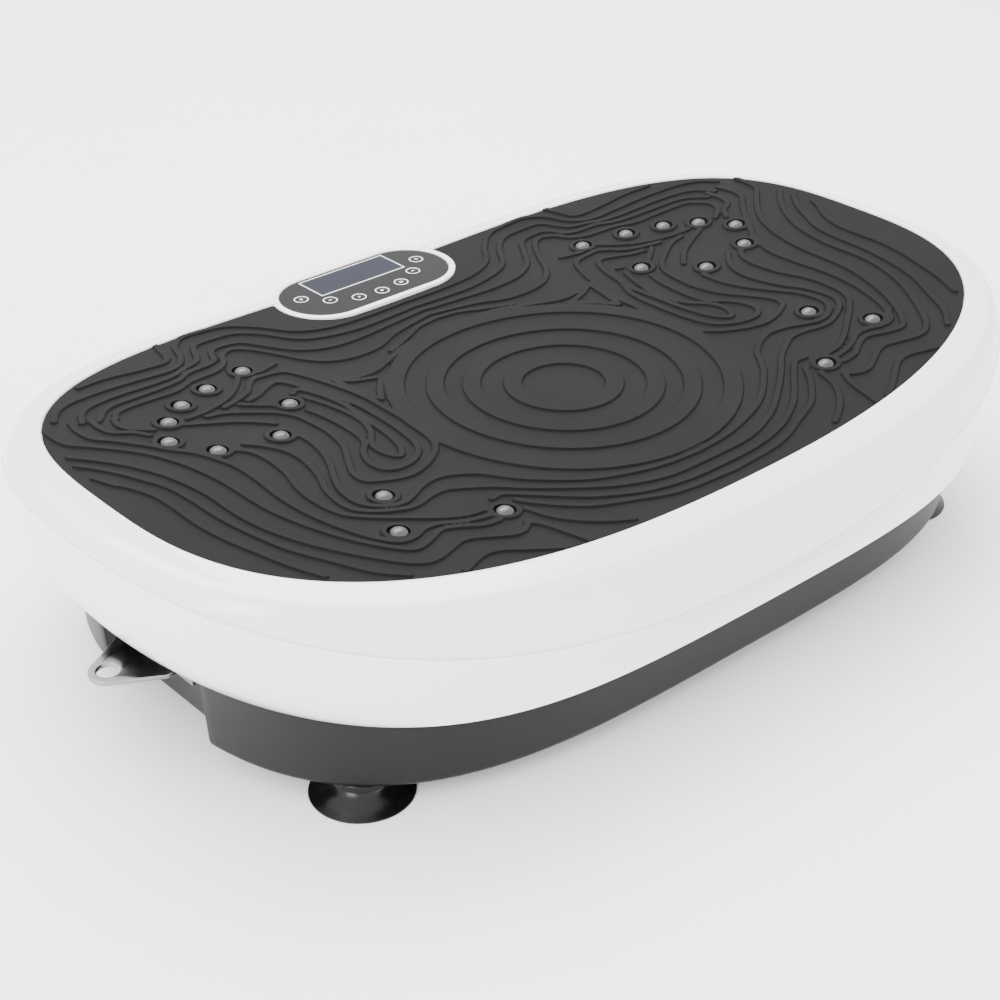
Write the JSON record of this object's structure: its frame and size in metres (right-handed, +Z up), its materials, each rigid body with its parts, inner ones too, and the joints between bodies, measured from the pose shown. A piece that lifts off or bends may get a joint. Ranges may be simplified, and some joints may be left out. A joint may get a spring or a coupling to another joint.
{
  "type": "vibration plate",
  "caption": "Oscillating exercise platform: a dished oval deck with a ribbed rubber mat, massage studs and key panel, rocking on a powered base with suction feet and band eyes.",
  "frame": {"origin": "on the floor under the middle of the object", "axes": "+X along the deck to the user's right, +Y away from the user towards the control panel, +Z up"},
  "size_m": [0.6732, 0.4302, 0.1591],
  "materials": {
    "white": "glossy warm white moulded ABS",
    "mat": "matt charcoal rubber with raised contour ribs",
    "panel": "glossy black printed panel",
    "window": "blue-grey display window, unlit",
    "black": "satin black moulded plastic",
    "gloss": "glossy black rubber",
    "stud": "satin silver-grey studs",
    "steel": "zinc-plated pressed steel",
    "chrome": "bright plated steel",
    "motor": "dark painted motor can",
    "belt": "ribbed drive belt",
    "board": "green circuit board",
    "bearing": "cast housings"
  },
  "bodies": {
    "base": {"base_tray": "black", "chassis_plate": "steel", "foot_front_left": "gloss", "foot_front_right": "gloss", "foot_rear_left": "gloss", "foot_rear_right": "gloss", "eyelet_left": "chrome", "eyelet_right": "chrome", "power_inlet": "black", "motor_body": "motor", "motor_bracket": "steel", "drive_belt": "belt", "bearing_block_left": "bearing", "bearing_block_right": "bearing", "pivot_shaft": "steel", "pivot_bracket_front": "steel", "pivot_bracket_rear": "steel", "driver_board": "board"},
    "deck": {"deck_shell": "white", "rubber_mat": "mat", "panel_overlay": "panel", "display_window": "window", "control_board": "board", "deck_frame": "steel", "stud_left_01": "stud", "stud_left_02": "stud", "stud_left_03": "stud", "stud_left_04": "stud", "stud_left_05": "stud", "stud_left_06": "stud", "stud_left_07": "stud", "stud_left_08": "stud", "stud_left_09": "stud", "stud_left_10": "stud", "stud_left_11": "stud", "stud_right_01": "stud", "stud_right_02": "stud", "stud_right_03": "stud", "stud_right_04": "stud", "stud_right_05": "stud", "stud_right_06": "stud", "stud_right_07": "stud", "stud_right_08": "stud", "stud_right_09": "stud", "stud_right_10": "stud", "stud_right_11": "stud"},
    "crank": {"eccentric_shaft": "steel"},
    "motor_rotor": {"motor_pulley": "steel"},
    "rod_left": {"conrod_left": "bearing"},
    "rod_right": {"conrod_right": "bearing"},
    "switch": {"rocker_switch": "gloss"},
    "key_up_body": {"key_up": "panel"},
    "key_down_body": {"key_down": "panel"},
    "key_mode_body": {"key_mode": "panel"},
    "key_start_body": {"key_start": "panel"},
    "key_set_body": {"key_set": "panel"},
    "key_minus_body": {"key_minus": "panel"},
    "key_plus_body": {"key_plus": "panel"}
  },
  "joints": [
    {"name": "deck_rock", "type": "hinge", "parent": "base", "child": "deck", "pos_m": [0, 0, 0.103], "axis": [0, 1, 0], "range_deg": [-1, 1]},
    {"name": "eccentric_spin", "type": "hinge", "parent": "base", "child": "crank", "pos_m": [0, 0, 0.058], "axis": [1, 0, 0], "continuous": true},
    {"name": "motor_spin", "type": "hinge", "parent": "base", "child": "motor_rotor", "pos_m": [-0.015, -0.085, 0.07], "axis": [1, 0, 0], "continuous": true},
    {"name": "rod_turn_left", "type": "hinge", "parent": "crank", "child": "rod_left", "pos_m": [-0.19, 0.0033, 0.058], "axis": [1, 0, 0], "continuous": true},
    {"name": "rod_turn_right", "type": "hinge", "parent": "crank", "child": "rod_right", "pos_m": [0.19, -0.0033, 0.058], "axis": [1, 0, 0], "continuous": true},
    {"name": "switch_rock", "type": "hinge", "parent": "base", "child": "switch", "pos_m": [0.019, 0.193, 0.04], "axis": [1, 0, 0], "range_deg": [-20, 0]},
    {"name": "press_up", "type": "slide", "parent": "deck", "child": "key_up_body", "axis": [0, 0, -1], "range_m": [0, 0.0004], "stiffness_N_per_m": 1500},
    {"name": "press_down", "type": "slide", "parent": "deck", "child": "key_down_body", "axis": [0, 0, -1], "range_m": [0, 0.0004], "stiffness_N_per_m": 1500},
    {"name": "press_mode", "type": "slide", "parent": "deck", "child": "key_mode_body", "axis": [0, 0, -1], "range_m": [0, 0.0004], "stiffness_N_per_m": 1500},
    {"name": "press_start", "type": "slide", "parent": "deck", "child": "key_start_body", "axis": [0, 0, -1], "range_m": [0, 0.0004], "stiffness_N_per_m": 1500},
    {"name": "press_set", "type": "slide", "parent": "deck", "child": "key_set_body", "axis": [0, 0, -1], "range_m": [0, 0.0004], "stiffness_N_per_m": 1500},
    {"name": "press_minus", "type": "slide", "parent": "deck", "child": "key_minus_body", "axis": [0, 0, -1], "range_m": [0, 0.0004], "stiffness_N_per_m": 1500},
    {"name": "press_plus", "type": "slide", "parent": "deck", "child": "key_plus_body", "axis": [0, 0, -1], "range_m": [0, 0.0004], "stiffness_N_per_m": 1500}
  ],
  "couplings": [
    {"joint": "motor_spin", "follows": "eccentric_spin", "ratio": 2},
    {"joint": "rod_turn_left", "follows": "eccentric_spin", "ratio": -1},
    {"joint": "rod_turn_right", "follows": "eccentric_spin", "ratio": -1}
  ]
}
